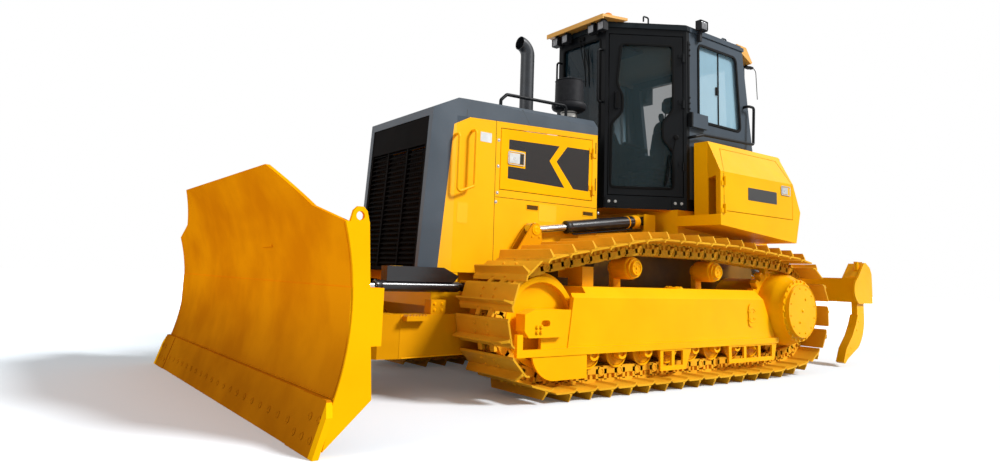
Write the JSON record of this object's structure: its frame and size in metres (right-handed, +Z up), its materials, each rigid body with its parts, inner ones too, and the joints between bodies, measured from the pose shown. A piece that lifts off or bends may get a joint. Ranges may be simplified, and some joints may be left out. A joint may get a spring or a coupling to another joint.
{
  "type": "bulldozer",
  "caption": "Crawler bulldozer with a power-angle-tilt blade on a push frame, a six-sided glazed cab, fender boxes and a rear ripper.",
  "frame": {"origin": "midpoint of the length and width, on the ground", "axes": "+X forward, the way the machine drives; +Y to the driver's left; +Z up"},
  "size_m": [6.833, 3.496, 3.3686],
  "materials": {
    "yellow_paint": "gloss",
    "grey_paint": "satin",
    "black_paint": "satin",
    "track_steel": "satin",
    "dark_steel": "satin",
    "chrome_rod": "polished",
    "glass": "clear",
    "seat_fabric": "matte",
    "plastic": "matte",
    "amber": "gloss",
    "lamp": "gloss"
  },
  "bodies": {
    "main": {"main_frame": "yellow_paint", "engine_block": "dark_steel", "hood": "grey_paint", "side_panels": "yellow_paint", "grille": "black_paint", "exhaust_stack": "dark_steel", "precleaner": "plastic", "hood_rail": "black_paint", "track_frames": "yellow_paint", "track_left": "track_steel", "track_right": "track_steel", "idlers": "yellow_paint", "sprockets": "yellow_paint", "rollers": "yellow_paint", "platform": "yellow_paint", "fenders": "yellow_paint", "fuel_tank": "yellow_paint", "cab_frame": "black_paint", "cab_glass": "glass", "cab_roof": "grey_paint", "visors": "yellow_paint", "work_lights": "lamp", "beacon": "amber", "seat": "seat_fabric", "console": "plastic", "handrails": "black_paint"},
    "cab_door_left": {"cab_door_left": "black_paint", "door_glass_left": "glass"},
    "engine_door_left": {"engine_door_left": "yellow_paint"},
    "fender_door_left": {"fender_door_left": "yellow_paint"},
    "angle_barrel_left": {"angle_barrel_left": "black_paint"},
    "angle_rod_left": {"angle_rod_left": "chrome_rod"},
    "cab_door_right": {"cab_door_right": "black_paint", "door_glass_right": "glass"},
    "engine_door_right": {"engine_door_right": "yellow_paint"},
    "fender_door_right": {"fender_door_right": "yellow_paint"},
    "angle_barrel_right": {"angle_barrel_right": "black_paint"},
    "angle_rod_right": {"angle_rod_right": "chrome_rod"},
    "ripper_arms": {"ripper_arms": "yellow_paint"},
    "ripper_links": {"ripper_links": "yellow_paint"},
    "push_frame": {"push_frame": "yellow_paint"},
    "lift_barrels": {"lift_barrels": "black_paint"},
    "lift_rods": {"lift_rods": "chrome_rod"},
    "blade_yoke": {"blade_yoke": "yellow_paint"},
    "blade": {"blade": "yellow_paint", "cutting_edge": "dark_steel"},
    "tilt_barrel": {"tilt_barrel": "black_paint"},
    "tilt_rod": {"tilt_rod": "chrome_rod"},
    "ripper_frame": {"ripper_frame": "yellow_paint", "ripper_shanks": "yellow_paint"},
    "ripper_barrels": {"ripper_barrels": "black_paint"},
    "ripper_rods": {"ripper_rods": "chrome_rod"}
  },
  "joints": [
    {"name": "cab_door_left", "type": "hinge", "parent": "main", "child": "cab_door_left", "pos_m": [-0.50033, 0.7646, 1.6], "axis": [0, 0, 1], "range_deg": [0, 80]},
    {"name": "cab_door_right", "type": "hinge", "parent": "main", "child": "cab_door_right", "pos_m": [-0.50033, -0.7646, 1.6], "axis": [0, 0, -1], "range_deg": [0, 80]},
    {"name": "engine_door_left", "type": "hinge", "parent": "main", "child": "engine_door_left", "pos_m": [0.44749, 0.529, 1.505], "axis": [0, 0, 1], "range_deg": [0, 95]},
    {"name": "engine_door_right", "type": "hinge", "parent": "main", "child": "engine_door_right", "pos_m": [0.44749, -0.529, 1.505], "axis": [0, 0, -1], "range_deg": [0, 95]},
    {"name": "fender_door_left", "type": "hinge", "parent": "main", "child": "fender_door_left", "pos_m": [-0.45351, 1.241, 1.5], "axis": [0, 0, -1], "range_deg": [0, 100]},
    {"name": "fender_door_right", "type": "hinge", "parent": "main", "child": "fender_door_right", "pos_m": [-0.45351, -1.241, 1.5], "axis": [0, 0, 1], "range_deg": [0, 100]},
    {"name": "blade_lift", "type": "hinge", "parent": "main", "child": "push_frame", "pos_m": [0.33449, 0, 0.43], "axis": [0, -1, 0], "range_deg": [-8.4, 18.1]},
    {"name": "lift_cylinder_swing", "type": "hinge", "parent": "main", "child": "lift_barrels", "pos_m": [-0.14051, 0, 1.373], "axis": [0, -1, 0], "range_deg": [-4.98, 10.39]},
    {"name": "lift_cylinder_stroke", "type": "slide", "parent": "lift_barrels", "child": "lift_rods", "axis": [0.9918, 0, -0.128], "range_m": [-0.287, 0.1348]},
    {"name": "blade_angle", "type": "hinge", "parent": "push_frame", "child": "blade_yoke", "pos_m": [2.78449, 0, 0.43], "axis": [0, 0, 1], "range_deg": [-25, 25]},
    {"name": "angle_cylinder_left_swing", "type": "hinge", "parent": "push_frame", "child": "angle_barrel_left", "pos_m": [1.78449, 0.582, 0.745], "axis": [0, 0, 1], "range_deg": [-1.28, 1.28]},
    {"name": "angle_cylinder_left_stroke", "type": "slide", "parent": "angle_barrel_left", "child": "angle_rod_left", "axis": [0.9999, 0.0169, 0], "range_m": [-0.2576, 0.2576]},
    {"name": "angle_cylinder_right_swing", "type": "hinge", "parent": "push_frame", "child": "angle_barrel_right", "pos_m": [1.78449, -0.582, 0.745], "axis": [0, 0, 1], "range_deg": [-1.28, 1.28]},
    {"name": "angle_cylinder_right_stroke", "type": "slide", "parent": "angle_barrel_right", "child": "angle_rod_right", "axis": [0.9999, -0.0169, 0], "range_m": [-0.2576, 0.2576]},
    {"name": "blade_tilt", "type": "hinge", "parent": "blade_yoke", "child": "blade", "pos_m": [3.01449, 0, 0.6], "axis": [1, 0, 0], "range_deg": [-7.5, 7.5]},
    {"name": "tilt_cylinder_swing", "type": "hinge", "parent": "blade_yoke", "child": "tilt_barrel", "pos_m": [2.97449, -0.3, 1.01], "axis": [1, 0, 0], "range_deg": [-4.92, 4.92]},
    {"name": "tilt_cylinder_stroke", "type": "slide", "parent": "tilt_barrel", "child": "tilt_rod", "axis": [0, 1, 0], "range_m": [-0.0566, 0.0566]},
    {"name": "ripper_lift", "type": "hinge", "parent": "main", "child": "ripper_arms", "pos_m": [-2.22551, 0, 0.48], "axis": [0, 1, 0], "range_deg": [-30, 25]},
    {"name": "ripper_link_swing", "type": "hinge", "parent": "main", "child": "ripper_links", "pos_m": [-2.22551, 0, 0.78], "axis": [0, 1, 0], "range_deg": [-30.5, 25.5]},
    {"name": "ripper_beam_level", "type": "hinge", "parent": "ripper_arms", "child": "ripper_frame", "pos_m": [-2.99551, 0, 0.69], "axis": [0, 1, 0], "range_deg": [-25.5, 30.5]},
    {"name": "ripper_cylinder_swing", "type": "hinge", "parent": "main", "child": "ripper_barrels", "pos_m": [-2.16551, 0, 1.11], "axis": [0, 1, 0], "range_deg": [-22.3, 18.63]},
    {"name": "ripper_cylinder_stroke", "type": "slide", "parent": "ripper_barrels", "child": "ripper_rods", "axis": [-0.9261, 0, -0.3773], "range_m": [-0.208, 0.249]}
  ],
  "couplings": [
    {"joint": "lift_cylinder_swing", "follows": "blade_lift", "ratio": 0.55727},
    {"joint": "lift_cylinder_stroke", "follows": "blade_lift", "m_per_rad": -0.89907},
    {"joint": "angle_cylinder_left_swing", "follows": "blade_angle", "ratio": 0.039164},
    {"joint": "angle_cylinder_left_stroke", "follows": "blade_angle", "m_per_rad": -0.58353},
    {"joint": "angle_cylinder_right_swing", "follows": "blade_angle", "ratio": 0.039164},
    {"joint": "angle_cylinder_right_stroke", "follows": "blade_angle", "m_per_rad": 0.58353},
    {"joint": "tilt_cylinder_swing", "follows": "blade_tilt", "ratio": 0.61609},
    {"joint": "tilt_cylinder_stroke", "follows": "blade_tilt", "m_per_rad": -0.40966},
    {"joint": "ripper_link_swing", "follows": "ripper_lift", "ratio": 1},
    {"joint": "ripper_beam_level", "follows": "ripper_lift", "ratio": -1},
    {"joint": "ripper_cylinder_swing", "follows": "ripper_lift", "ratio": 0.73327},
    {"joint": "ripper_cylinder_stroke", "follows": "ripper_lift", "m_per_rad": -0.46987}
  ]
}
